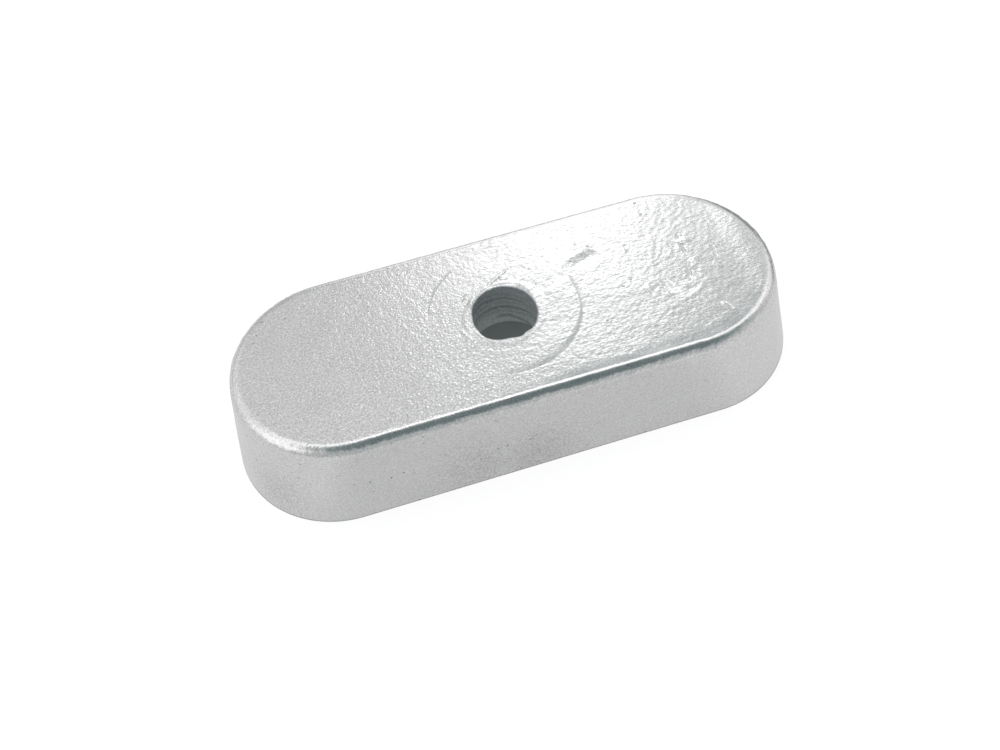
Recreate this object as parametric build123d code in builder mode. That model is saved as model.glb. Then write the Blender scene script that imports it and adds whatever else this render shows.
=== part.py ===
from build123d import *
from math import radians, tan
import os

# Cast zinc bar anode: one drafted block with rounded ends, a raised washer pad on top and
# one cored bolt hole that opens into a round pocket underneath.
# The underside lies on z = 0, the long axis is X and the bolt hole stands on the origin.

# Driving dimensions, in millimetres and degrees
BASE_LENGTH = 75.0
BASE_WIDTH = 31.0
BODY_HEIGHT = 12.6
DRAFT_ANGLE = 8.6
BASE_END_FLAT = 4.0
TOP_END_FLAT = 0.3
TOP_EDGE_RADIUS = 1.6
BASE_EDGE_CHAMFER = 0.25

BOLT_DIAMETER = 8.0
BOLT_SIDE_CLEARANCE = 0.3
THROAT_LENGTH = 2.5
HOLE_LIP_RADIUS = 0.3

SEAT_LAND = 2.2
PAD_RISE = 0.15
PAD_EDGE_WIDTH = 0.3

POCKET_DEPTH = 4.4
POCKET_CORNER_RADIUS = 0.6
POCKET_MOUTH_CHAMFER = 0.3

# Sizes that follow from them
draft_per_height = tan(radians(DRAFT_ANGLE))
top_inset = (BODY_HEIGHT - BASE_EDGE_CHAMFER) * draft_per_height
seat_radius = BASE_WIDTH / 2 - top_inset - TOP_EDGE_RADIUS - SEAT_LAND
pad_top = BODY_HEIGHT + PAD_RISE
throat_radius = BOLT_DIAMETER / 2 + BOLT_SIDE_CLEARANCE
throat_bottom = pad_top - HOLE_LIP_RADIUS - THROAT_LENGTH
core_radius = throat_radius + (throat_bottom - POCKET_DEPTH) * draft_per_height
cut_past = 1.0


def block_outline(inset, end_flat):
    """Rounded rectangle of the block, drawn in on every side, with a short flat at each end."""
    width = BASE_WIDTH - 2 * inset
    RectangleRounded(BASE_LENGTH - 2 * inset, width, (width - end_flat) / 2)


with BuildPart() as zinc_casting:
    # Drafted block: blunt rounded ends at the parting face run into full-round ends on top
    with BuildSketch(Plane.XY):
        block_outline(BASE_EDGE_CHAMFER, BASE_END_FLAT)
    with BuildSketch(Plane.XY.offset(BASE_EDGE_CHAMFER)):
        block_outline(0, BASE_END_FLAT)
    with BuildSketch(Plane.XY.offset(BODY_HEIGHT)):
        block_outline(top_inset, TOP_END_FLAT)
    loft(ruled=True)
    fillet(zinc_casting.faces().sort_by(Axis.Z)[-1].edges(), TOP_EDGE_RADIUS)

    # Washer pad: a low disc with a sloping edge
    with BuildSketch(Plane.XZ):
        with BuildLine():
            Polyline(
                (0, BODY_HEIGHT),
                (seat_radius, BODY_HEIGHT),
                (seat_radius - PAD_EDGE_WIDTH, pad_top),
                (0, pad_top),
                close=True,
            )
        make_face()
    revolve(axis=Axis.Z)

    # Bolt hole: straight throat on top, then a cored taper down to the pocket
    with BuildSketch(Plane.XZ):
        with BuildLine():
            Polyline(
                (0, pad_top + cut_past),
                (throat_radius, pad_top + cut_past),
                (throat_radius, throat_bottom),
                (core_radius, POCKET_DEPTH),
                (core_radius, 0),
                (0, 0),
                close=True,
            )
        make_face()
    revolve(axis=Axis.Z, mode=Mode.SUBTRACT)

    # Pocket underneath, with a rounded inner corner
    with BuildSketch(Plane.XZ) as pocket_section:
        with BuildLine():
            Polyline(
                (0, -cut_past),
                (seat_radius, -cut_past),
                (seat_radius, POCKET_DEPTH),
                (0, POCKET_DEPTH),
                close=True,
            )
        make_face()
        pocket_corner = pocket_section.vertices().group_by(Axis.X)[-1].sort_by(Axis.Y)[-1]
        fillet(pocket_corner, POCKET_CORNER_RADIUS)
    revolve(axis=Axis.Z, mode=Mode.SUBTRACT)

    # Rounded lip on the hole, and a broken edge on the pocket's mouth
    round_edges = zinc_casting.edges().filter_by(GeomType.CIRCLE)
    hole_lip = round_edges.group_by(Axis.Z)[-1].sort_by(SortBy.RADIUS)[0]
    fillet(hole_lip, HOLE_LIP_RADIUS)
    round_edges = zinc_casting.edges().filter_by(GeomType.CIRCLE)
    pocket_mouth = round_edges.group_by(Axis.Z)[0].sort_by(SortBy.RADIUS)[0]
    chamfer(pocket_mouth, POCKET_MOUTH_CHAMFER)

zinc_casting.part.label = "zinc_casting"

os.makedirs("parts", exist_ok=True)
export_step(zinc_casting.part, "parts/zinc_casting.step")
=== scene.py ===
import math

import bpy
import numpy as np
from mathutils import Matrix, Vector
from mathutils.geometry import delaunay_2d_cdt


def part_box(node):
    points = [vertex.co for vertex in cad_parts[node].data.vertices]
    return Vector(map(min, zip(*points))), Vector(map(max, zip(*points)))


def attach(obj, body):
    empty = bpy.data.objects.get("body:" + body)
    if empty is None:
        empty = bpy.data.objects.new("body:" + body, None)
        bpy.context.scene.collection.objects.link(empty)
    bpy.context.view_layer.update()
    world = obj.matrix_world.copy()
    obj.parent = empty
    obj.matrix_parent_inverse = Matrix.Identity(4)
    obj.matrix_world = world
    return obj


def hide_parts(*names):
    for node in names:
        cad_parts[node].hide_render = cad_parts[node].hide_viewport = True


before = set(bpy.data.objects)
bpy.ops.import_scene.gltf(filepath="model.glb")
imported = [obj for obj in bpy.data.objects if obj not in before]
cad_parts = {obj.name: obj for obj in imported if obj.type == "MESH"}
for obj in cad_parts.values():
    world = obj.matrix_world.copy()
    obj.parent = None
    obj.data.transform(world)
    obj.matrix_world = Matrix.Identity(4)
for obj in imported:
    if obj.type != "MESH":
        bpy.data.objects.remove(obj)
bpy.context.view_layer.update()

# The visual model of a cast zinc bar anode. It is one closed mesh that follows the CAD casting
# and carries the cast surface as real relief: sand grain on the left half of the top, flow
# ripples on the right half, the marks round the bolt hole, pits, and the rough wall of the hole.
# Lengths are in millimetres until the mesh is written, in metres, into the CAD frame. X runs
# along the casting to the right, Y to the back and Z up, with the underside at zero. Directions
# round the hole are in degrees from +X towards +Y.

MM = 0.001
CAD_NODE = "zinc_casting"

# ---------------------------------------------------------------- form of the casting
cad_low, cad_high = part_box(CAD_NODE)
BASE_LENGTH = (cad_high.x - cad_low.x) / MM
BASE_WIDTH = (cad_high.y - cad_low.y) / MM
PAD_RISE = 0.15
BODY_HEIGHT = cad_high.z / MM - PAD_RISE
DRAFT = math.radians(8.6)
BASE_EDGE = 0.25
BASE_END_FLAT = 4.0
TOP_END_FLAT = 0.3
TOP_EDGE_RADIUS = 1.6
SEAT_RADIUS = 9.83
THROAT_RADIUS = 4.3
THROAT_BOTTOM = 9.95
POCKET_DEPTH = 4.4
POCKET_CORNER_RADIUS = 0.6
POCKET_MOUTH = 0.3
CAST_LIP_RADIUS = 0.08
LIP_OUTER_RADIUS = THROAT_RADIUS + CAST_LIP_RADIUS
CORE_RADIUS = THROAT_RADIUS + (THROAT_BOTTOM - POCKET_DEPTH) * math.tan(DRAFT)
TOP_INSET = (BODY_HEIGHT - BASE_EDGE) * math.tan(DRAFT)
TOP_HALF_LENGTH = BASE_LENGTH / 2 - TOP_INSET
TOP_HALF_WIDTH = BASE_WIDTH / 2 - TOP_INSET
TOP_CORNER = TOP_HALF_WIDTH - TOP_END_FLAT / 2
BASE_CORNER = (BASE_WIDTH - BASE_END_FLAT) / 2
FILLET_INSET = TOP_EDGE_RADIUS * (1 - math.sin(DRAFT)) / math.cos(DRAFT)

# ---------------------------------------------------------------- density of the mesh
TOP_SPACING = 0.19
SIDE_COLUMNS = 216
CORNER_COLUMNS = 92
END_COLUMNS = 8
FILLET_ROWS = 10
SIDE_ROWS = 24
HOLE_COLUMNS = 140
LIP_ROWS = 4
THROAT_ROWS = 17
TAPER_ROWS = 38
ROOF_ROWS = 9
POCKET_CORNER_ROWS = 4
POCKET_WALL_ROWS = 6
UNDERSIDE_SPACING = 1.4
LATTICE_UNEVENNESS = 0.09
SAME_POINT = 1e-7
LATTICE_SEED = 11
PIT_SEED = 5


# ---------------------------------------------------------------- noise and blending
NOISE_GAIN = 1.7


def smoothstep(low, high, value):
    """0 below low, 1 above high, and a smooth rise between."""
    t = np.clip((value - low) / (high - low), 0.0, 1.0)
    return t * t * (3 - 2 * t)


def bump(value, centre, half_width):
    """1 at the centre, falling smoothly to nothing."""
    return np.exp(-(((value - centre) / half_width) ** 2))


def angle_bump(angle, centre, half_width):
    """A bump on a circle, with angles in degrees."""
    away = (angle - centre + 180) % 360 - 180
    return np.exp(-((away / half_width) ** 2))


def lattice_gradients(cell, seed):
    """A repeatable unit vector for each lattice cell."""
    key = cell[:, 0] * 73856093 ^ cell[:, 1] * 19349663 ^ cell[:, 2] * 83492791 ^ seed * 2654435761
    key = (key & 0xFFFFFFFF).astype(np.uint64)
    for multiplier in (2246822519, 3266489917):
        key = ((key ^ (key >> np.uint64(15))) * np.uint64(multiplier)) & np.uint64(0xFFFFFFFF)
    turn = (key & np.uint64(0xFFFF)).astype(float) / 65536 * 2 * math.pi
    height = (key >> np.uint64(16)).astype(float) / 65536 * 2 - 1
    ring = np.sqrt(1 - height**2)
    return np.stack([ring * np.cos(turn), ring * np.sin(turn), height], axis=1)


def noise(points, size, seed):
    """Smooth gradient noise, about -1 to 1, whose features are about size across."""
    scaled = points / size
    cell = np.floor(scaled).astype(np.int64)
    local = scaled - cell
    fade = local**3 * (local * (local * 6 - 15) + 10)
    total = np.zeros(len(points))
    for corner in np.ndindex(2, 2, 2):
        corner = np.array(corner)
        weight = np.prod(np.where(corner, fade, 1 - fade), axis=1)
        gradient = lattice_gradients(cell + corner, seed)
        total += weight * np.sum(gradient * (local - corner), axis=1)
    return total * NOISE_GAIN


def layered(points, layers):
    """Sum of noises, each given as its height, the size of its features and its seed."""
    return sum(height * noise(points, size, seed) for height, size, seed in layers)


def angle_bumps(angle, places):
    """Sum of bumps on a circle, each given as its direction, half width and height."""
    return sum(height * angle_bump(angle, centre, half) for centre, half, height in places)


def on_plane(x, y):
    """The points at height zero, for noise on the flat top."""
    return np.column_stack([x, y, np.zeros(len(x))])


def turned(x, y, cx, cy, degrees):
    """Distances from a centre, along a direction and across it."""
    turn = math.radians(degrees)
    along = (x - cx) * math.cos(turn) + (y - cy) * math.sin(turn)
    across = (y - cy) * math.cos(turn) - (x - cx) * math.sin(turn)
    return along, across


# ---------------------------------------------------------------- outline of the block
def outline(half_length, half_width, corner_radius):
    """Rounded rectangle as an anticlockwise loop with the same columns at every height."""
    cx, cy = half_length - corner_radius, half_width - corner_radius
    quarter = np.linspace(0, math.pi / 2, CORNER_COLUMNS, endpoint=False)

    def line(start, end, count):
        t = np.linspace(0, 1, count, endpoint=False)[:, None]
        return np.array(start) * (1 - t) + np.array(end) * t

    def corner(x, y, start):
        angle = quarter + start
        return np.stack([x + corner_radius * np.cos(angle), y + corner_radius * np.sin(angle)], 1)

    return np.concatenate(
        [
            line((half_length, -cy), (half_length, cy), END_COLUMNS),
            corner(cx, cy, 0),
            line((cx, half_width), (-cx, half_width), SIDE_COLUMNS),
            corner(-cx, cy, math.pi / 2),
            line((-half_length, cy), (-half_length, -cy), END_COLUMNS),
            corner(-cx, -cy, math.pi),
            line((-cx, -half_width), (cx, -half_width), SIDE_COLUMNS),
            corner(cx, -cy, 1.5 * math.pi),
        ]
    )


def side_loop(height):
    """Outline of the drafted side at a height."""
    rise = (height - BASE_EDGE) / (BODY_HEIGHT - BASE_EDGE)
    inset = rise * TOP_INSET
    radius = BASE_CORNER + (TOP_CORNER - BASE_CORNER) * rise
    loop = outline(BASE_LENGTH / 2 - inset, BASE_WIDTH / 2 - inset, radius)
    return np.column_stack([loop, np.full(len(loop), height)])


def fillet_loop(tilt):
    """Outline of the rounded top edge where its surface is tilted by this much from the top."""
    inset = FILLET_INSET - TOP_EDGE_RADIUS * math.sin(tilt)
    height = BODY_HEIGHT - TOP_EDGE_RADIUS * (1 - math.cos(tilt))
    loop = outline(TOP_HALF_LENGTH - inset, TOP_HALF_WIDTH - inset, TOP_CORNER - inset)
    return np.column_stack([loop, np.full(len(loop), height)])


def circle_loop(radius, height):
    """Loop round the bolt hole."""
    angle = np.linspace(0, 2 * math.pi, HOLE_COLUMNS, endpoint=False)
    x, y = radius * np.cos(angle), radius * np.sin(angle)
    return np.column_stack([x, y, np.full(HOLE_COLUMNS, height)])


def distance_in(x, y):
    """Distance in from the rounded top edge's inner line, positive on the flat top."""
    half_length, half_width = TOP_HALF_LENGTH - FILLET_INSET, TOP_HALF_WIDTH - FILLET_INSET
    radius = TOP_CORNER - FILLET_INSET
    qx, qy = np.abs(x) - (half_length - radius), np.abs(y) - (half_width - radius)
    outside = np.hypot(np.maximum(qx, 0), np.maximum(qy, 0))
    return radius - outside - np.minimum(np.maximum(qx, qy), 0)


# ---------------------------------------------------------------- relief of the top
# Flow marks: x, y, length, width, direction in degrees, height
FLOW_MARKS = (
    (25.05, 2.1, 1.5, 0.16, 92, -0.072),
    (25.35, -0.3, 1.2, 0.34, 35, 0.109),
    (24.6, -0.6, 0.9, 0.16, 60, -0.065),
    (24.4, -1.7, 1.4, 0.17, 85, -0.065),
    (24.0, -2.6, 1.1, 0.17, 52, -0.058),
    (21.2, -2.45, 1.5, 0.18, -32, -0.072),
    (23.1, -3.05, 1.8, 0.17, -3, -0.072),
    (21.8, -3.95, 2.1, 0.24, -4, 0.080),
    (22.6, -4.5, 3.0, 0.2, 8, -0.022),
    (23.8, -5.2, 3.2, 0.25, 24, 0.018),
    (26.85, -8.35, 1.3, 0.12, -62, -0.065),
    (26.4, -7.9, 0.6, 0.13, 20, 0.043),
    (28.65, 0.6, 1.9, 0.13, 92, -0.043),
    (25.4, 4.45, 0.7, 0.3, 40, -0.072),
    (25.6, 3.5, 1.5, 0.25, 0, 0.043),
    (18.1, 4.5, 1.8, 0.16, 88, -0.018),
    (18.3, -2.5, 0.8, 0.35, 0, 0.051),
    (19.0, -3.1, 1.4, 0.2, 40, -0.043),
    (-0.2, 5.35, 1.6, 0.13, 32, -0.068),
    (1.3, 6.25, 2.0, 0.14, 26, -0.066),
    (3.3, 6.65, 2.0, 0.14, -2, -0.066),
    (4.6, 6.2, 1.2, 0.14, -40, -0.068),
    (1.5, 5.7, 1.1, 0.22, -25, 0.050),
    (9.9, 4.7, 1.5, 0.14, 20, -0.045),
    (11.0, 5.9, 2.0, 0.45, 20, 0.040),
    (-4.6, 3.9, 1.0, 0.14, 45, -0.050),
    (-3.9, 4.4, 1.0, 0.18, 42, 0.060),
)
# Pits on the top: x, y, radius
TOP_PITS = (
    (-29.9, 9.4, 0.11),
    (-27.05, 9.05, 0.14),
    (-31.0, 7.6, 0.12),
    (-19.3, 7.1, 0.10),
    (-17.95, 2.3, 0.10),
    (-27.8, -7.2, 0.11),
    (22.1, 12.0, 0.09),
    (22.1, 9.8, 0.09),
    (13.55, 6.9, 0.10),
    (12.1, 7.8, 0.09),
    (14.6, -7.9, 0.10),
    (11.8, -5.6, 0.10),
    (16.9, -0.3, 0.10),
    (15.6, -1.1, 0.10),
    (23.9, -8.5, 0.08),
)
TOP_PIT_DEPTH = 0.08
# The dent behind the hole on the right: x, y, length, width, direction in degrees; then its depth,
# its rough floor and the painted shade in it
DENT = (12.4, 5.1, 3.4, 0.62, 20)
DENT_DEPTH = 0.10
DENT_FLOOR = (12.8, 5.5, 2.4, 0.6, 20)
DENT_FLOOR_NOISE = ((0.038, 0.4, 13),)
DENT_PAINTED_SHADE = (12.9, 5.2, 2.4, 0.55, 20)
# Grain of the top, each layer as its height, the size of its features and its seed
SWELL = ((0.022, 8.0, 1), (0.007, 3.4, 2))
SAND = ((0.008, 0.38, 3), (0.002, 0.8, 4))
STRAIGHT_RIPPLES = ((0.75, 0.36, 6), (0.35, 0.7, 7))
CURVED_RIPPLES = ((0.55, 0.40, 11), (0.55, 0.8, 12))
LOOSE_RIPPLES = ((0.65, 0.38, 8), (0.20, 0.7, 10))
RIPPLE_BEND = ((0.35, 3.0, 5),)
RIPPLE_HEIGHT = 0.0102
RIPPLE_DEGREES = 40
RIPPLE_STRETCH = 3.4
SWIRL_CENTRE = (22.8, -0.6)
SWIRL_RADIUS = 4.2
HOLLOW_CENTRE = (28.2, -3.5)
HOLLOW_SIZE = (1.5, 4.2)
# The smooth strip inside the front edge
STRIP_NARROW = 0.8
STRIP_WIDE = 1.5
STRIP_FALL_MIDDLE = 0.014
STRIP_FALL_RIGHT = 0.006
# The metal drew up a little at the right-hand end
END_RISE = 0.09
# The washer pad's edge: a slope with a foot in front and on the right, and a thin line elsewhere
RING_RADIUS = 9.8
RING_CENTRE = (0.1, 0.55)
RING_WOBBLE = ((0.04, 1.6, 9),)
PAD_STEP_FRONT = 0.018
PAD_STEP_RIGHT = 0.032
SLOPE_BEGINS = (-118, -88)
SLOPE_ENDS = (14, 18)
SLOPE_SOFTNESS = 0.12
FOOT_DEPTH = 0.008
LINE_DEPTH = 0.034
LINE_HALF_WIDTH = 0.11
# Where the thin line shows: the directions in degrees between which it fades in and out, strength
LINE_SECTORS = (
    (112, 122, 158, 166, 1.0),
    (66, 72, 82, 90, 0.35),
    (-12, 2, 15, 18, 0.45),
)
# The collar round the hole, and the burrs on its rim: direction, half width, share of the height
COLLAR_RADIUS = 5.5
COLLAR_RISE = 0.022
BURR_HEIGHT = 0.055
BURRS = ((140, 12, 1.0), (-158, 12, 0.8), (62, 9, 0.5))
SHARP_BURR = ((-146, 12, 0.05),)
ROLL_OFF = 0.055


def streak(x, y, cx, cy, length, width, degrees):
    """A soft elongated spot, 1 at its middle."""
    along, across = turned(x, y, cx, cy, degrees)
    return np.exp(-((2 * along / length) ** 4)) * bump(across, 0, width)


def ripple_share(x, y):
    """0 on the sand-grained part of the top, 1 where the metal set in ripples."""
    return smoothstep(-10, 7, x + 0.35 * y)


def strip_along(x, y):
    """Where along the edge the smooth strip runs: in front, on the right-hand half."""
    return smoothstep(-9, 5, x) * (1 - smoothstep(29, 33, x)) * smoothstep(-3, -6, y)


def strip_width(x):
    """The strip is widest at the right-hand corner."""
    return STRIP_NARROW + (STRIP_WIDE - STRIP_NARROW) * smoothstep(6, 30, x)


def strip_share(x, y):
    """1 on the smooth strip inside the front edge."""
    width = strip_width(x)
    across = 1 - smoothstep(width - 0.6, width + 0.2, distance_in(x, y))
    return strip_along(x, y) * across


def ring_place(x, y):
    """Distance outside the pad's edge line, and the direction from the hole in degrees."""
    away = np.hypot(x - RING_CENTRE[0], y - RING_CENTRE[1]) - RING_RADIUS
    return away, np.degrees(np.arctan2(y, x))


def slope_share(angle):
    """1 in the directions in which the pad's edge is a slope."""
    return smoothstep(*SLOPE_BEGINS, angle) * (1 - smoothstep(*SLOPE_ENDS, angle))


def slope_half_width(angle):
    """The slope is soft in front and sharp on the right."""
    return 0.08 + 0.25 * (1 - smoothstep(-40, -4, angle))


def ring_share(x, y):
    """1 on the smooth sloping edge of the washer pad."""
    away, angle = ring_place(x, y)
    half = slope_half_width(angle)
    return slope_share(angle) * (1 - smoothstep(half, half + SLOPE_SOFTNESS, np.abs(away)))


def pad_relief(x, y):
    """The washer pad's sloping edge, and the thin line that goes on from it."""
    away, angle = ring_place(x, y)
    away = away + layered(on_plane(x, y), RING_WOBBLE)
    where = slope_share(angle)
    half = slope_half_width(angle)
    fade_in = smoothstep(3.5, 8.5, np.hypot(x, y))
    step = PAD_STEP_FRONT + (PAD_STEP_RIGHT - PAD_STEP_FRONT) * smoothstep(-80, -40, angle)
    height = step * where * fade_in * (1 - smoothstep(-half, half, away))
    foot = FOOT_DEPTH * where * bump(away, half + 0.10, 0.14)
    line = sum(
        strength * (smoothstep(first, full, angle) - smoothstep(fading, last, angle))
        for first, full, fading, last, strength in LINE_SECTORS
    )
    return height - foot - LINE_DEPTH * np.clip(line, 0, 1) * bump(away, 0.0, LINE_HALF_WIDTH)


def collar_relief(x, y):
    """The low collar that the core left round the hole."""
    radius = np.hypot(x, y)
    angle = np.degrees(np.arctan2(y, x))
    edge = COLLAR_RADIUS + 0.25 * np.sin(np.radians(2 * angle + 40))
    burr_radius = 4.68 + 0.004 * np.abs(angle - BURRS[0][0])
    rim = BURR_HEIGHT * angle_bumps(angle, BURRS) * bump(radius, burr_radius, 0.26)
    rim += angle_bumps(angle, SHARP_BURR) * bump(radius, 4.62, 0.10)
    behind = smoothstep(8, 40, angle) * (1 - smoothstep(128, 150, angle))
    roll = ROLL_OFF * behind * (1 - smoothstep(4.35, 4.85, radius))
    return COLLAR_RISE * (1 - smoothstep(edge - 0.45, edge, radius)) + rim - roll


def hollow_share(x, y):
    """1 in the smooth hollow between the swirl and the right-hand end."""
    (cx, cy), (width, length) = HOLLOW_CENTRE, HOLLOW_SIZE
    return bump(np.hypot((x - cx) / width, (y - cy) / length), 0, 1.0)


def grain_strength(x, y):
    """How strong the ripples are: strongest in the swirl, faint in the hollow beside it."""
    swirl = bump(np.hypot(x - SWIRL_CENTRE[0], y - SWIRL_CENTRE[1]), 2.8, 3.0)
    back = bump(np.hypot((x - 13) / 1.3, y - 7), 0, 5.0)
    return np.clip(0.85 + 1.1 * swirl - 0.6 * hollow_share(x, y) - 0.35 * back, 0.2, 2)


def peel(x, y):
    """Ripples of the metal that set last: short dashes, bent round the swirl."""
    bend = layered(on_plane(x, y), RIPPLE_BEND)
    along, across = turned(x, y, 0, 0, RIPPLE_DEGREES)
    straight = layered(on_plane(along / RIPPLE_STRETCH, across + bend), STRAIGHT_RIPPLES)
    sx, sy = x - SWIRL_CENTRE[0], y - SWIRL_CENTRE[1]
    radius, angle = np.hypot(sx, sy), np.arctan2(sy, sx)
    curved = layered(on_plane(angle * 4.0 / 2.2, radius + bend), CURVED_RIPPLES)
    swirl = bump(radius, SWIRL_RADIUS, 2.2) * (0.35 + 0.65 * smoothstep(0.5, -0.8, np.sin(angle)))
    loose = layered(on_plane(x, y), LOOSE_RIPPLES)
    border = smoothstep(25, 31, x) * 0.75
    mixed = straight * (1 - swirl) + curved * swirl
    return mixed * (1 - border) + loose * border


def top_relief(x, y):
    """Height of the cast top above its flat plane."""
    flat = on_plane(x, y)
    inward = distance_in(x, y)
    ripple = ripple_share(x, y)

    height = layered(flat, SWELL) * smoothstep(0.0, 1.5, inward)
    rippled = RIPPLE_HEIGHT * ripple * grain_strength(x, y) * peel(x, y)
    grain = (1 - ripple) * layered(flat, SAND) + rippled
    height += (1 - 0.93 * strip_share(x, y)) * (1 - 0.8 * ring_share(x, y)) * grain
    height += pad_relief(x, y) + collar_relief(x, y)
    across = 1 - smoothstep(0.0, 1.0, inward / strip_width(x))
    fall = STRIP_FALL_MIDDLE - (STRIP_FALL_MIDDLE - STRIP_FALL_RIGHT) * smoothstep(8, 22, x)
    height -= fall * strip_width(x) * strip_along(x, y) * across
    height += END_RISE * smoothstep(30, 33.6, x)
    for *place, rise in FLOW_MARKS:
        height += rise * streak(x, y, *place)
    height -= DENT_DEPTH * streak(x, y, *DENT)
    height += streak(x, y, *DENT_FLOOR) * layered(flat, DENT_FLOOR_NOISE)
    for cx, cy, radius in TOP_PITS:
        height -= TOP_PIT_DEPTH * bump(np.hypot(x - cx, y - cy), 0, radius)
    return height


def fine_places(x, y):
    """Where the top's relief needs a finer mesh: the pad's edge, the flow marks and the pits."""
    away, angle = ring_place(x, y)
    fine = (np.abs(away) < 0.42) & (np.abs(angle + 50) < 69)
    fine |= (np.abs(away) < 0.3) & (np.abs(angle - 138) < 28)
    for cx, cy, length, _, degrees, _ in FLOW_MARKS:
        along, across = turned(x, y, cx, cy, degrees)
        fine |= (np.abs(along) < length / 2 + 0.15) & (np.abs(across) < 0.4)
    for cx, cy, _ in TOP_PITS:
        fine |= np.hypot(x - cx, y - cy) < 0.35
    return fine


# ---------------------------------------------------------------- relief of the sides
SIDE_PIT_COUNT = 30
SIDE_PIT_DEPTH = 0.07
SIDE_GRAIN = ((0.018, 7.0, 21), (0.006, 2.2, 22), (0.0022, 0.8, 23))
RAGGED_EDGE = ((0.046, 1.4, 41), (0.066, 0.5, 42))
# The relief may stand out by this much at the foot of the sides, where the casting is widest
SIDE_MOST_OUT = 0.02
# Duller patches on the sides: x, y, z, radius, strength
SIDE_STAINS = (
    (-9.0, -14.8, 3.0, 4.5, 0.8),
    (-1.0, -14.9, 2.0, 4.5, 1.0),
    (-33.5, -10.5, 4.0, 4.0, 0.7),
    (-36.0, -2.0, 3.0, 3.5, 0.4),
)


def side_pits(points, generator):
    """Small random pits on the sides, 1 at the middle of each."""
    depth = np.zeros(len(points))
    loop = side_loop(BODY_HEIGHT / 2)
    for _ in range(SIDE_PIT_COUNT):
        spot = loop[generator.integers(len(loop))].copy()
        spot[2] = generator.uniform(1.0, BODY_HEIGHT - 2.0)
        radius = generator.uniform(0.12, 0.24)
        near = np.hypot(points[:, 0] - spot[0], points[:, 1] - spot[1])
        away = np.hypot(near * 0.9, points[:, 2] - spot[2])
        depth = np.maximum(depth, bump(away, 0, radius))
    return depth


# ---------------------------------------------------------------- relief of the hole
# Ridges that the core left in the hole's wall: height, width, depth
BORE_RIDGES = (
    (11.3, 0.20, 0.09),
    (10.4, 0.22, 0.14),
    (9.5, 0.18, 0.08),
    (8.3, 0.26, 0.20),
    (7.3, 0.20, 0.10),
)
# Flash on the hole's rim: direction, half width, and how far it stands out from the axis
RIM_FLASH = (
    (-98, 13, -0.30),
    (-66, 9, -0.22),
    (-137, 13, 0.10),
    (172, 26, -0.20),
    (96, 30, 0.12),
    (2, 34, -0.20),
)
RIM_NOISE = ((0.055, 0.9, 31), (0.060, 0.4, 32))
RIDGE_WAVER = ((0.16, 2.5, 33),)
WALL_NOISE = ((0.04, 1.3, 34), (0.05, 0.5, 35))
# A ledge low in the wall, behind the axis
LEDGE_HEIGHT = 4.5
LEDGE_DEPTH = 0.26


def hole_relief(points):
    """The hole's relief outwards from its axis, flash and ridges, and the share of groove."""
    angle = np.degrees(np.arctan2(points[:, 1], points[:, 0]))
    height = points[:, 2]
    rim = angle_bumps(angle, RIM_FLASH) + layered(points, RIM_NOISE)
    rim *= smoothstep(BODY_HEIGHT - 2.2, BODY_HEIGHT - 0.5, height)

    tilt = 0.012 * np.clip(angle - 90, -70, 60)
    tilt = np.where(np.abs(angle) > 150, 0, tilt)
    waver = layered(points, RIDGE_WAVER)
    ridges = sum(
        depth * bump(height, place + tilt + waver, width) for place, width, depth in BORE_RIDGES
    )
    ledge = bump(height, LEDGE_HEIGHT + 0.042 * np.clip(angle - 38, 0, 34), 0.28)
    ledge *= smoothstep(30, 44, angle) * (1 - smoothstep(78, 100, angle))
    groove = ridges / 0.14 + 1.5 * ledge
    wall = ridges + LEDGE_DEPTH * ledge + layered(points, WALL_NOISE)
    wall *= smoothstep(POCKET_DEPTH + 0.02, POCKET_DEPTH + 0.35, height)
    wall *= 1 - smoothstep(BODY_HEIGHT - 0.7, BODY_HEIGHT - 0.2, height)
    return rim + wall, groove


# ---------------------------------------------------------------- building the mesh
def lattice(spacing, half_length, half_width, generator):
    """Slightly uneven triangular lattice over a rectangle."""
    rows = np.arange(-half_width, half_width, spacing * math.sqrt(3) / 2)
    columns = np.arange(-half_length, half_length, spacing)
    x, y = np.meshgrid(columns, rows)
    x = x + (np.arange(len(rows)) % 2)[:, None] * spacing / 2
    flat = np.column_stack([x.ravel(), y.ravel()])
    return flat + generator.normal(0, spacing * LATTICE_UNEVENNESS, flat.shape)


def fill_between(outer, inner, inside, outer_start, inner_start, next_index):
    """Triangles between two loops through the inside points; returns them with global indices."""
    flat = np.concatenate([outer[:, :2], inner[:, :2], inside])
    count_outer, count_inner = len(outer), len(inner)
    edges = [(i, (i + 1) % count_outer) for i in range(count_outer)]
    edges += [(count_outer + i, count_outer + (i + 1) % count_inner) for i in range(count_inner)]
    loose = [Vector(point) for point in flat]
    _, _, faces, origins, _, _ = delaunay_2d_cdt(loose, edges, [], 0, SAME_POINT, True)
    source = np.array([origin[0] for origin in origins])
    faces = source[np.array([f for f in faces if len(f) == 3])]
    loops = count_outer + count_inner
    ring = (faces >= count_outer) & (faces < loops)
    faces = faces[~ring.all(axis=1)]
    start = np.where(faces < count_outer, outer_start, inner_start - count_outer)
    start = np.where(faces >= loops, next_index - loops, start)
    return faces + start


def strip(first, second, count):
    """Quads between two loops of the same length, given by the index that each starts at."""
    i = np.arange(count)
    j = (i + 1) % count
    return np.stack([first + i, first + j, second + j, second + i], axis=1)


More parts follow.
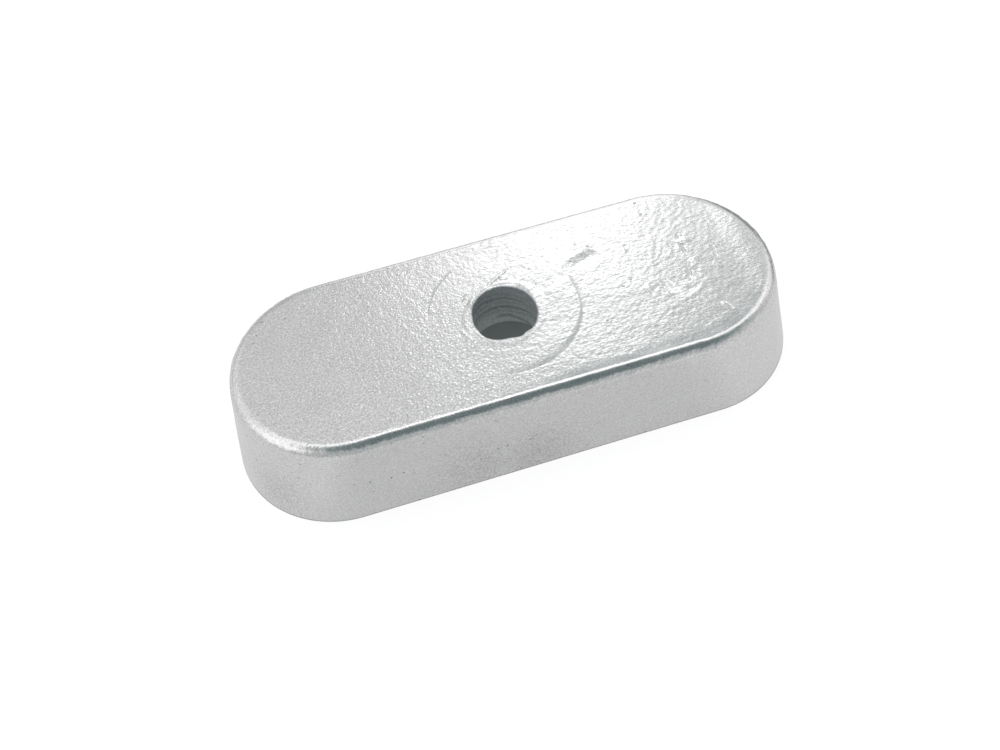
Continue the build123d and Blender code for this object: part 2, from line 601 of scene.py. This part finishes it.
def block_loops():
    """Loops down the outside, from the top edge's inner line to the edge of the underside."""
    side_angle = math.pi / 2 - DRAFT
    loops = [fillet_loop(t) for t in np.linspace(0, side_angle, FILLET_ROWS + 1)]
    side_top = loops[-1][0, 2]
    loops += [side_loop(h) for h in np.linspace(side_top, BASE_EDGE, SIDE_ROWS + 1)[1:]]
    half_length, half_width = BASE_LENGTH / 2 - BASE_EDGE, BASE_WIDTH / 2 - BASE_EDGE
    underside = outline(half_length, half_width, BASE_CORNER - BASE_EDGE)
    loops.append(np.column_stack([underside, np.zeros(len(underside))]))
    return loops


def hole_loops():
    """Loops down the hole: lip, throat, tapered core, pocket's roof, corner, wall and mouth."""
    lip = np.linspace(0, math.pi / 2, LIP_ROWS + 1)
    places = [
        (
            THROAT_RADIUS + CAST_LIP_RADIUS * (1 - math.sin(t)),
            BODY_HEIGHT - CAST_LIP_RADIUS * (1 - math.cos(t)),
        )
        for t in lip
    ]
    throat_top = BODY_HEIGHT - CAST_LIP_RADIUS
    heights = np.linspace(throat_top, THROAT_BOTTOM, THROAT_ROWS + 1)[1:]
    places += [(THROAT_RADIUS, height) for height in heights]
    for share in np.linspace(0, 1, TAPER_ROWS + 1)[1:]:
        radius = THROAT_RADIUS + (CORE_RADIUS - THROAT_RADIUS) * share
        height = THROAT_BOTTOM + (POCKET_DEPTH - THROAT_BOTTOM) * share
        places.append((radius, height))
    corner_start = SEAT_RADIUS - POCKET_CORNER_RADIUS
    roof = np.linspace(CORE_RADIUS, corner_start, ROOF_ROWS + 1)[1:]
    places += [(radius, POCKET_DEPTH) for radius in roof]
    for t in np.linspace(0, math.pi / 2, POCKET_CORNER_ROWS + 1)[1:]:
        radius = corner_start + POCKET_CORNER_RADIUS * math.sin(t)
        height = POCKET_DEPTH - POCKET_CORNER_RADIUS * (1 - math.cos(t))
        places.append((radius, height))
    wall_top = POCKET_DEPTH - POCKET_CORNER_RADIUS
    heights = np.linspace(wall_top, POCKET_MOUTH, POCKET_WALL_ROWS + 1)[1:]
    places += [(SEAT_RADIUS, height) for height in heights]
    places.append((SEAT_RADIUS + POCKET_MOUTH, 0))
    return [circle_loop(radius, height) for radius, height in places]


def inner_points():
    """Points on the flat top and on the underside, clear of the loops round them."""
    generator = np.random.default_rng(LATTICE_SEED)
    reach = BASE_LENGTH / 2, BASE_WIDTH / 2
    top = lattice(TOP_SPACING, *reach, generator)
    finer = lattice(TOP_SPACING / 2, *reach, generator)
    top = np.concatenate([top[~fine_places(*top.T)], finer[fine_places(*finer.T)]])
    margin = 0.6 * TOP_SPACING
    clear = distance_in(*top.T) > margin
    clear &= np.hypot(*top.T) > LIP_OUTER_RADIUS + margin

    under = lattice(UNDERSIDE_SPACING, *reach, generator)
    open_under = distance_in(*under.T) > 0
    open_under &= np.hypot(*under.T) > SEAT_RADIUS + POCKET_MOUTH + 0.5
    return top[clear], under[open_under]


def build_arrays():
    """Vertices, triangles and quads of the undisplaced casting."""
    outer, hole = block_loops(), hole_loops()
    top, under = inner_points()
    columns = len(outer[0])
    hole_start = columns * len(outer)
    top_start = hole_start + HOLE_COLUMNS * len(hole)
    under_start = top_start + len(top)
    last_outer = hole_start - columns
    last_hole = top_start - HOLE_COLUMNS

    top_faces = fill_between(outer[0], hole[0], top, 0, hole_start, top_start)
    bottom = fill_between(outer[-1], hole[-1], under, last_outer, last_hole, under_start)
    triangles = np.concatenate([top_faces, bottom[:, ::-1]])
    quads = [strip(columns * (i + 1), columns * i, columns) for i in range(len(outer) - 1)]
    for start in range(hole_start, last_hole, HOLE_COLUMNS):
        quads.append(strip(start, start + HOLE_COLUMNS, HOLE_COLUMNS))
    top_level = np.full(len(top), BODY_HEIGHT)
    flats = [np.column_stack([top, top_level]), on_plane(*under.T)]
    return np.concatenate(outer + hole + flats), triangles, np.concatenate(quads)


def vertex_normals(vertices, triangles, quads):
    """Area-weighted normals of the undisplaced mesh."""
    normals = np.zeros_like(vertices)
    halves = np.concatenate([triangles, quads[:, [0, 1, 2]], quads[:, [0, 2, 3]]])
    a, b, c = (vertices[halves[:, k]] for k in range(3))
    cross = np.cross(b - a, c - a)
    for k in range(3):
        np.add.at(normals, halves[:, k], cross)
    return normals / np.linalg.norm(normals, axis=1)[:, None]


class Places:
    """Which part of the surface each vertex belongs to, from the undisplaced mesh."""

    def __init__(self, vertices, normals):
        self.vertices, self.normals = vertices, normals
        self.x, self.y, self.z = vertices.T
        self.radius = np.hypot(self.x, self.y)
        facing_up = normals[:, 2]
        in_hole = (self.radius < SEAT_RADIUS + 0.5) & (self.z > 0.01)
        in_hole &= self.z < BODY_HEIGHT + 0.001
        in_hole &= (facing_up < 0.999) | (self.radius < LIP_OUTER_RADIUS + 0.01)
        self.in_hole = in_hole
        self.bore = in_hole & (self.radius < CORE_RADIUS + 0.01)
        self.upward = smoothstep(0.35, 0.97, facing_up)
        self.outward = (1 - smoothstep(0.2, 0.8, np.abs(facing_up))) * ~in_hole
        self.top = self.upward * (self.z > BODY_HEIGHT - 0.5)
        self.pits = side_pits(vertices, np.random.default_rng(PIT_SEED)) * self.outward


def displace(at, push):
    """The vertices with their relief, where push is the hole's own, outwards from its axis."""
    height = top_relief(at.x, at.y) * at.upward
    height[at.z < BODY_HEIGHT - TOP_EDGE_RADIUS] = 0
    fade = smoothstep(0.25, 1.0, at.z)
    grain = layered(at.vertices, SIDE_GRAIN) - SIDE_PIT_DEPTH * at.pits
    sideways = grain * at.outward * fade
    sideways = np.minimum(sideways, SIDE_MOST_OUT * fade + 0.1 * smoothstep(2, 5, at.z))
    edge = bump(at.z, BODY_HEIGHT - 0.75, 0.75) * ~at.in_hole * (at.z > 1)
    sideways += edge * layered(at.vertices, RAGGED_EDGE) * (1 - at.upward * 0.6)

    moved = at.vertices + at.normals * sideways[:, None]
    moved[:, 2] += height
    mouth = 1 - smoothstep(0.0, 1.3, at.radius - THROAT_RADIUS)
    push = push * np.where(at.bore, 1.0, mouth * at.upward)
    scale = 1 + np.where(at.radius > 0.1, push / np.maximum(at.radius, 0.1), 0)
    moved[:, :2] *= scale[:, None]
    moved[:, 2] = np.minimum(moved[:, 2], BODY_HEIGHT + PAD_RISE - 0.002)
    return moved


def smooth_places(at):
    """How smooth the skin is: the sides, the strip inside the front edge, the pad's edge."""
    strip_top = np.maximum(strip_share(at.x, at.y), 0.85 * ring_share(at.x, at.y)) * at.top
    calm = np.clip(0.20 * bump(at.x, -33, 6) + 0.3 * hollow_share(at.x, at.y), 0, 1)
    facing = np.maximum(smoothstep(-4, -9, at.y), 0.35 * smoothstep(28, 33, at.x))
    rim = 0.60 * facing * smoothstep(0.15, -0.05, distance_in(at.x, at.y))
    strip_top = np.maximum(strip_top, at.top * np.maximum(calm, rim))
    fillet = (1 - at.upward) * smoothstep(0.2, 0.5, at.normals[:, 2])
    fillet = fillet * (1 - smoothstep(31, 34, at.x))
    rough_edge = 0.55 * bump(at.z, BODY_HEIGHT - 1.0, 0.9)
    return np.clip(strip_top + 0.45 * fillet + at.outward * (1 - rough_edge), 0, 1)


def surface_masks(at, groove):
    """The vertex attributes that the material reads."""
    # Painted shade: the pits on the sides and top, and the dent, are darkened in the colour as
    # shade in these hollows
    dark = np.maximum(at.pits, 0.12 * at.top * streak(at.x, at.y, *DENT_PAINTED_SHADE))
    for cx, cy, size in TOP_PITS:
        spot = bump(np.hypot(at.x - cx, at.y - cy), 0, size * 1.1)
        dark = np.maximum(dark, at.top * spot)
    stain = np.zeros(len(at.x))
    for *centre, radius, strength in SIDE_STAINS:
        away = np.linalg.norm(at.vertices - np.array(centre), axis=1)
        stain = np.maximum(stain, strength * bump(away, 0, radius) * at.outward)
    return {
        "ripple": ripple_share(at.x, at.y) * at.upward,
        "smooth_edge": smooth_places(at),
        "pit_and_dent_shade": dark,
        "bore": at.bore.astype(float),
        "stain": stain,
        # Share of the way down the hole's wall; it carries the painted light and shade of the
        # wall's colour
        "bore_painted_light_depth": at.bore * (BODY_HEIGHT - at.z) / (BODY_HEIGHT - POCKET_DEPTH),
        "groove": at.bore * np.clip(groove, 0, 1),
    }


def build_casting():
    """The casting as one closed mesh object."""
    vertices, triangles, quads = build_arrays()
    at = Places(vertices, vertex_normals(vertices, triangles, quads))
    push, groove = hole_relief(vertices)
    moved = displace(at, push)
    faces = triangles.tolist() + quads.tolist()
    mesh = bpy.data.meshes.new("cast_anode")
    mesh.from_pydata((moved * MM).tolist(), [], faces)
    mesh.validate()
    mesh.shade_smooth()
    for name, values in surface_masks(at, groove).items():
        layer = mesh.attributes.new(name, "FLOAT", "POINT")
        layer.data.foreach_set("value", values.astype(np.float32))
    piece = bpy.data.objects.new("cast_anode", mesh)
    bpy.context.scene.collection.objects.link(piece)
    return piece


# ---------------------------------------------------------------- material
class Graph:
    """Short helpers for writing a node tree."""

    def __init__(self, tree):
        self.tree = tree
        tree.nodes.clear()

    def node(self, kind, **values):
        made = self.tree.nodes.new(kind)
        for name, value in values.items():
            setattr(made, name, value)
        return made

    def link(self, source, target):
        self.tree.links.new(source, target)

    def feed(self, socket, value):
        """Link a socket, or set a constant."""
        if isinstance(value, bpy.types.NodeSocket):
            self.link(value, socket)
        else:
            socket.default_value = value

    def math(self, operation, a, b=0.0):
        made = self.node("ShaderNodeMath", operation=operation)
        self.feed(made.inputs[0], a)
        self.feed(made.inputs[1], b)
        return made.outputs[0]

    def span(self, value, low, high, to_low, to_high, smooth=False):
        """Map one range to another, held at its ends."""
        made = self.node("ShaderNodeMapRange")
        made.interpolation_type = "SMOOTHSTEP" if smooth else "LINEAR"
        for socket, item in zip(made.inputs[:5], (value, low, high, to_low, to_high)):
            self.feed(socket, item)
        return made.outputs[0]

    def mix(self, share, a, b):
        """Blend two numbers."""
        made = self.node("ShaderNodeMix", data_type="FLOAT")
        self.feed(made.inputs["Factor"], share)
        self.feed(made.inputs["A"], a)
        self.feed(made.inputs["B"], b)
        return made.outputs[0]

    def blend_colour(self, share, a, b):
        """Blend two colours."""
        made = self.node("ShaderNodeMix", data_type="RGBA")
        colours = [socket for socket in made.inputs if socket.type == "RGBA"]
        self.feed(made.inputs["Factor"], share)
        self.feed(colours[0], a)
        self.feed(colours[1], b)
        return next(socket for socket in made.outputs if socket.type == "RGBA")

    def scale_colour(self, colour, factor):
        made = self.node("ShaderNodeVectorMath", operation="SCALE")
        self.link(colour, made.inputs[0])
        self.feed(made.inputs["Scale"], factor)
        return made.outputs[0]

    def blend_shaders(self, share, a, b):
        """Blend two shaders."""
        made = self.node("ShaderNodeMixShader")
        for socket, item in zip(made.inputs, (share, a, b)):
            self.link(item, socket)
        return made.outputs[0]

    def noise(self, vector, scale, detail=2.0, roughness=0.5):
        made = self.node("ShaderNodeTexNoise")
        self.feed(made.inputs["Vector"], vector)
        made.inputs["Scale"].default_value = scale
        made.inputs["Detail"].default_value = detail
        made.inputs["Roughness"].default_value = roughness
        return made.outputs[0]

    def attribute(self, name):
        made = self.node("ShaderNodeAttribute", attribute_name=name)
        return made.outputs["Fac"]


# Noise scales, each written as features per millimetre
PER_MM = 1000.0
PATCH_SCALE = 0.22 * PER_MM
GRAIN_SCALE = 2.4 * PER_MM
FINE_SCALE = 4.4 * PER_MM
SPECKLE_SCALE = 4.2 * PER_MM
SPECK_SCALE = 1.1 * PER_MM
DASH_STRETCH = 0.26
BUMP_DEPTH = 0.045 * MM
SAND_BUMP = 0.44
RIPPLE_FINE_BUMP = 0.08
RIPPLE_DASH_BUMP = 0.32
SMOOTH_BUMP = 0.16
CLEAN_DULL = (0.735, 0.74, 0.735, 1)
CLEAN_BRIGHT = (0.785, 0.79, 0.785, 1)
# The dark colour of the dirt specks, also used as painted shade in the pits and the dent
DIRT_AND_PIT_SHADE = (0.17, 0.19, 0.19, 1)
# Painted shade and painted light on the hole's wall: dark at its top, light down by the pocket
BORE_TOP_PAINTED_SHADE = (0.42, 0.46, 0.47, 1)
BORE_BOTTOM_PAINTED_LIGHT = (0.95, 1.0, 1.0, 1)
GROOVE_SHADE = 0.64
STAIN_SHADE = 0.86
SANDED_ROUGHNESS = (0.18, 0.26)
SMOOTH_ROUGHNESS = (0.18, 0.23)
BORE_ROUGHNESS = 0.42
BORE_METAL = 0.5
# The grain's shades: from dark to light, on the open metal and on the hole's wall
METAL_SHADES = (0.80, 1.16)
BORE_SHADES = (0.76, 1.2)
# Dark specks are common on the left and rarer on the right, between these places along X
SPECKS_THIN_OUT = (-12 * MM, 8 * MM)
SPECK_LIMIT_LEFT = 0.36
SPECK_LIMIT_RIGHT = 0.55
SPECK_LARGEST = 0.15


def mottled_metal(g, speckle, patch, smooth_edge, ripple):
    """Colour of the open metal: a light mottle, with speckle that is strongest on the sand."""
    stain = g.attribute("stain")
    clean = g.blend_colour(patch, CLEAN_DULL, CLEAN_BRIGHT)
    shade = g.span(speckle, 0.30, 0.70, *METAL_SHADES)
    quiet = g.math("ADD", g.math("MULTIPLY", smooth_edge, 0.46), g.math("MULTIPLY", stain, -0.85))
    quiet = g.math("MAXIMUM", quiet, g.math("MULTIPLY", ripple, 0.30))
    shade = g.mix(quiet, shade, 1.0)
    shade = g.math("MULTIPLY", shade, g.mix(stain, 1.0, STAIN_SHADE))
    return g.scale_colour(clean, shade)


def dark_specks_and_pit_shade(g, place, smooth_edge):
    """Where it is dark: small random specks of dirt, more of them in the stains, and painted shade
    in the pits and the dent.
    """
    cells = g.node("ShaderNodeTexVoronoi")
    g.link(place, cells.inputs["Vector"])
    cells.inputs["Scale"].default_value = SPECK_SCALE
    parts = g.node("ShaderNodeSeparateXYZ")
    g.link(place, parts.inputs[0])
    limit = g.span(parts.outputs["X"], *SPECKS_THIN_OUT, SPECK_LIMIT_LEFT, SPECK_LIMIT_RIGHT)
    size = g.math("MULTIPLY", g.math("SUBTRACT", cells.outputs["Color"], limit), 0.40)
    size = g.math("ADD", size, g.math("MULTIPLY", g.attribute("stain"), 0.05))
    size = g.math("MINIMUM", g.math("MAXIMUM", size, 0.0), SPECK_LARGEST)
    speck = g.span(g.math("SUBTRACT", cells.outputs["Distance"], size), -0.05, 0.0, 1.0, 0.0)
    speck = g.math("MULTIPLY", speck, g.mix(smooth_edge, 0.30, 0.95))
    # The pits and the dent get painted shade: the dark colour stands in for the shade in these
    # hollows
    return g.math("MAXIMUM", speck, g.math("MULTIPLY", g.attribute("pit_and_dent_shade"), 0.9))


def bore_wall(g, speckle):
    """Colour of the hole's wall: dull, with painted shade at the top and painted light that makes
    it lighter towards the pocket, darker in the grooves.
    """
    # Painted light and shade: dark at the top of the wall and light down by the pocket, as light
    # falls into the hole
    wall = g.blend_colour(g.attribute("bore_painted_light_depth"), BORE_TOP_PAINTED_SHADE, BORE_BOTTOM_PAINTED_LIGHT)
    shade = g.span(speckle, 0.3, 0.7, *BORE_SHADES)
    shade = g.math("MULTIPLY", shade, g.mix(g.attribute("groove"), 1.0, GROOVE_SHADE))
    return g.scale_colour(wall, shade)


def fine_relief(g, place, smooth_edge, ripple):
    """Bump too fine for the mesh: sand grain, or dashes along the ripples."""
    fine = g.noise(place, FINE_SCALE, 0.0)
    lay = g.node("ShaderNodeMapping")
    g.link(place, lay.inputs["Vector"])
    lay.inputs["Rotation"].default_value = (0, 0, -math.radians(RIPPLE_DEGREES))
    lay.inputs["Scale"].default_value = (DASH_STRETCH, 1, 1)
    dashes = g.noise(lay.outputs[0], FINE_SCALE, 1.0)
    rippled = g.math("MULTIPLY", fine, RIPPLE_FINE_BUMP)
    rippled = g.math("ADD", rippled, g.math("MULTIPLY", dashes, RIPPLE_DASH_BUMP))
    height = g.mix(ripple, g.math("MULTIPLY", fine, SAND_BUMP), rippled)
    height = g.math("MULTIPLY", height, g.mix(smooth_edge, 1.0, SMOOTH_BUMP))
    relief = g.node("ShaderNodeBump")
    relief.inputs["Strength"].default_value = 1.0
    relief.inputs["Distance"].default_value = BUMP_DEPTH
    g.link(height, relief.inputs["Height"])
    return relief.outputs[0]


def zinc_material():
    """As-cast zinc: bright grey metal, sand grained on top and smoother on the drafted sides."""
    material = bpy.data.materials.new("cast_zinc")
    material.use_nodes = True
    g = Graph(material.node_tree)
    place = g.node("ShaderNodeTexCoord").outputs["Object"]
    ripple = g.attribute("ripple")
    smooth_edge = g.attribute("smooth_edge")
    bore = g.attribute("bore")
    patch = g.noise(place, PATCH_SCALE, 3.0)
    grain = g.noise(place, GRAIN_SCALE, 2.0, 0.6)
    speckle = g.noise(place, SPECKLE_SCALE, 1.0)

    metal = mottled_metal(g, speckle, patch, smooth_edge, ripple)
    surface = g.blend_colour(bore, metal, bore_wall(g, speckle))
    colour = g.blend_colour(dark_specks_and_pit_shade(g, place, smooth_edge), surface, DIRT_AND_PIT_SHADE)
    sanded = g.span(grain, 0.3, 0.7, *SANDED_ROUGHNESS)
    polished = g.span(patch, 0.3, 0.7, *SMOOTH_ROUGHNESS)
    roughness = g.mix(bore, g.mix(smooth_edge, sanded, polished), BORE_ROUGHNESS)

    shader = g.node("ShaderNodeBsdfPrincipled")
    g.link(g.mix(bore, 1.0, BORE_METAL), shader.inputs["Metallic"])
    g.link(colour, shader.inputs["Base Color"])
    g.link(roughness, shader.inputs["Roughness"])
    g.link(fine_relief(g, place, smooth_edge, ripple), shader.inputs["Normal"])
    g.link(shader.outputs[0], g.node("ShaderNodeOutputMaterial").inputs["Surface"])
    return material


# ---------------------------------------------------------------- studio
# The studio is a white light tent: soft panels, and a dark gap round the camera's side overhead.
# Nine rows come from a least-squares fit to brightness samples of the photograph: back wall,
# roof behind on the right, right panel, gap overhead and front right, only rounded, and left panel,
# back right panel, grey gap on the right and gap low behind, adjusted since. The rest were placed
# or moved one by one.
# name, azimuth from +Y towards +X, elevation, inner and outer radius in degrees, brightness
TENT = (
    ("left wall behind", -38, 33, 8, 26, 0.76),
    ("roof on the left", -15, 50, 2, 11, 0.68),
    ("beside the gap on the right", 37, 47, 1, 6, 0.90),
    ("back wall", 15.7, 12.2, 8.1, 21.1, 1.33),
    ("left panel", -76, 36, 1, 57, 0.93),
    ("middle of the left panel", -98, 38, 10, 27, 1.28),
    ("roof behind on the right", 50, 65, 9, 18, 2.30),
    ("right panel", 46, 38, 18, 38, 1.21),
    ("back right panel", 27.8, 39.8, 12.7, 15.9, 2.30),
    ("grey gap on the right", 44.5, 35, 17, 21.5, 0.77),
    ("gap low behind", 42, 11, 2, 17, 0.20),
    ("gap overhead", 161, 71, 1, 42.5, 0.20),
    ("gap behind the camera", 166, 49, 4, 15, 0.19),
    ("front right", 123, -20, 4.5, 60, 0.77),
    ("right panel low down", 72, 24, 6, 24, 1.02),
    ("gap under the roof", 21, 58, 2, 7.5, 0.18),
    ("gap beside the roof", 30, 54.5, 1.5, 8, 0.33),
    ("front right edge of the panel", 69, 48, 3, 10, 1.35),
    ("roof edge far left", -70, 62, 6, 14, 1.25),
    ("roof edge on the left", -30, 67, 5, 11, 1.30),
    ("roof edge behind", 0, 70.5, 3.5, 8.5, 1.50),
    ("roof edge on the right", 28, 72.5, 4.5, 9.5, 2.1),
)
TENT_BASE = 0.535
# The dark gaps are tinted: fully below the first level, and not at all above the second
TINTED_LEVELS = (0.15, 0.6)
DARK_TINT = (0.78, 0.99, 1.03, 1)
WHITE = (1, 1, 1, 1)


def direction(azimuth, elevation):
    """Unit vector from an azimuth, measured from +Y towards +X, and an elevation in degrees."""
    a, e = math.radians(azimuth), math.radians(elevation)
    return (math.sin(a) * math.cos(e), math.cos(a) * math.cos(e), math.sin(e))


def tent_world():
    """World light as a function of direction, and plain white behind the object."""
    world = bpy.data.worlds.new("light_tent")
    bpy.context.scene.world = world
    world.use_nodes = True
    g = Graph(world.node_tree)
    ray = g.node("ShaderNodeTexCoord").outputs["Generated"]
    level = TENT_BASE
    for _, azimuth, elevation, inner, outer, brightness in TENT:
        facing = g.node("ShaderNodeVectorMath", operation="DOT_PRODUCT")
        g.link(ray, facing.inputs[0])
        facing.inputs[1].default_value = direction(azimuth, elevation)
        limits = math.cos(math.radians(outer)), math.cos(math.radians(inner))
        share = g.span(facing.outputs["Value"], *limits, 0.0, 1.0, smooth=True)
        level = g.mix(share, level, brightness)
    lit = g.node("ShaderNodeBackground")
    g.link(level, lit.inputs["Strength"])
    tint = g.blend_colour(g.span(level, *TINTED_LEVELS, 0.0, 1.0), DARK_TINT, WHITE)
    g.link(tint, lit.inputs["Color"])
    white = g.node("ShaderNodeBackground")
    white.inputs["Strength"].default_value = 1.0
    white.inputs["Color"].default_value = WHITE
    for_camera = g.node("ShaderNodeLightPath").outputs["Is Camera Ray"]
    seen = g.blend_shaders(for_camera, lit.outputs[0], white.outputs[0])
    g.link(seen, g.node("ShaderNodeOutputWorld").inputs["Surface"])


# The floor. The camera sees it white, with a part of its real shadow. The metal reflects it as
# a grey glow of its own, with painted light and painted shadow in it: lighter beyond the ends, a
# painted shadow in a spot behind on the right, and dimmer under the casting, painted shade that
# still sends a little painted light up into the pocket.
FLOOR_HALF = 1.5
PAPER = (0.78, 0.78, 0.78, 1)
WHITE_FLOOR = 1.22
WHITE_SHARE = 0.72
REFLECTED_SHARE = 0.80
REFLECTED_FLOOR = 0.70
# Painted light: the floor that the metal reflects is lighter beyond the ends
PAINTED_LIGHT_ENDS = 0.81
ENDS_CENTRE_X = -2 * MM
ENDS_BEGIN = 22 * MM
ENDS_FULL = 34 * MM
# Painted shadow: a dark spot in the floor that the metal reflects, behind on the right
PAINTED_SHADOW_LEVEL = 0.10
PAINTED_SHADOW_SPOT = (88 * MM, 46 * MM, 0)
PAINTED_SHADOW_FULL = 25 * MM
PAINTED_SHADOW_END = 58 * MM
UNDER_RADIUS = (SEAT_RADIUS + 1) * MM
# Under the casting the floor glows faintly for the camera and for the metal: painted light in the
# pocket, dimmer than the open floor as painted shade
GLOW_UNDER = 0.02
REFLECTED_UNDER = 0.22


def painted_floor_reflection(g, spot):
    """Brightness of the floor as the metal shows it: a painted reflection, with painted light
    beyond the ends and a painted shadow behind on the right.
    """
    parts = g.node("ShaderNodeSeparateXYZ")
    g.link(spot, parts.inputs[0])
    sideways = g.math("ABSOLUTE", g.math("SUBTRACT", parts.outputs["X"], ENDS_CENTRE_X))
    ends = ENDS_BEGIN, ENDS_FULL, REFLECTED_FLOOR, PAINTED_LIGHT_ENDS
    level = g.span(sideways, *ends, smooth=True)
    away = g.node("ShaderNodeVectorMath", operation="DISTANCE")
    g.link(spot, away.inputs[0])
    away.inputs[1].default_value = PAINTED_SHADOW_SPOT
    # Painted shadow: the reflected floor darkens round a spot behind on the right
    shade = g.span(away.outputs["Value"], PAINTED_SHADOW_FULL, PAINTED_SHADOW_END, 1.0, 0.0, smooth=True)
    return g.mix(shade, level, PAINTED_SHADOW_LEVEL)


def floor_material():
    """The floor's shaders, by the kind of ray that meets them."""
    material = bpy.data.materials.new("white_floor")
    material.use_nodes = True
    g = Graph(material.node_tree)
    spot = g.node("ShaderNodeTexCoord").outputs["Object"]
    rays = g.node("ShaderNodeLightPath").outputs
    away = g.node("ShaderNodeVectorMath", operation="LENGTH")
    g.link(spot, away.inputs[0])
    open_floor = g.math("GREATER_THAN", away.outputs["Value"], UNDER_RADIUS)

    paper = g.node("ShaderNodeBsdfDiffuse")
    paper.inputs["Color"].default_value = PAPER
    white = g.node("ShaderNodeEmission")
    white.inputs["Strength"].default_value = WHITE_FLOOR
    g.link(g.blend_colour(open_floor, DARK_TINT, WHITE), white.inputs["Color"])
    reflected = g.node("ShaderNodeEmission")
    g.link(painted_floor_reflection(g, spot), reflected.inputs["Strength"])

    share = g.math("MULTIPLY", rays["Is Camera Ray"], g.mix(open_floor, GLOW_UNDER, WHITE_SHARE))
    seen = g.blend_shaders(share, paper.outputs[0], white.outputs[0])
    share = g.mix(open_floor, REFLECTED_UNDER, REFLECTED_SHARE)
    share = g.math("MULTIPLY", rays["Is Glossy Ray"], share)
    seen = g.blend_shaders(share, seen, reflected.outputs[0])
    g.link(seen, g.node("ShaderNodeOutputMaterial").inputs["Surface"])
    return material


def white_floor():
    """Pale floor, with a soft shadow left in it for the camera."""
    mesh = bpy.data.meshes.new("floor")
    half = FLOOR_HALF
    corners = [(-half, -half, 0), (half, -half, 0), (half, half, 0), (-half, half, 0)]
    mesh.from_pydata(corners, [], [(0, 1, 2, 3)])
    mesh.materials.append(floor_material())
    floor = bpy.data.objects.new("floor", mesh)
    bpy.context.scene.collection.objects.link(floor)
    return floor


# ---------------------------------------------------------------- camera
# Angles are in degrees, and the camera looks at the target from the front, -Y
CAMERA_TARGET = Vector((-2.68, -5.46, 7.5))
CAMERA_DISTANCE = 149.7
CAMERA_AZIMUTH = -11.1
CAMERA_ELEVATION = 54.18
CAMERA_ROLL = -7.115
CAMERA_LENS = 42.23
SENSOR_WIDTH = 36.0
CLIP_START = 0.005
CLIP_END = 10.0


def photo_camera():
    """The camera at the photograph's place, fitted to the casting's outline and hole."""
    a, e = math.radians(CAMERA_AZIMUTH), math.radians(CAMERA_ELEVATION)
    back = Vector((math.cos(e) * math.sin(a), -math.cos(e) * math.cos(a), math.sin(e)))
    level_right = (-back).cross(Vector((0, 0, 1))).normalized()
    level_up = level_right.cross(-back)
    r = math.radians(CAMERA_ROLL)
    right = math.cos(r) * level_right + math.sin(r) * level_up
    up = -math.sin(r) * level_right + math.cos(r) * level_up
    data = bpy.data.cameras.new("photo_camera")
    data.lens = CAMERA_LENS
    data.sensor_width = SENSOR_WIDTH
    data.clip_start = CLIP_START
    data.clip_end = CLIP_END
    camera = bpy.data.objects.new("photo_camera", data)
    bpy.context.scene.collection.objects.link(camera)
    camera.matrix_world = Matrix.LocRotScale(
        (CAMERA_TARGET + back * CAMERA_DISTANCE) * MM,
        Matrix((right, up, back)).transposed().to_quaternion(),
        None,
    )
    bpy.context.scene.camera = camera


# ---------------------------------------------------------------- putting it together
casting = build_casting()
casting.data.materials.append(zinc_material())
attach(casting, "root")
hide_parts(CAD_NODE)

white_floor()
tent_world()
photo_camera()
bpy.context.scene.view_settings.view_transform = "Standard"
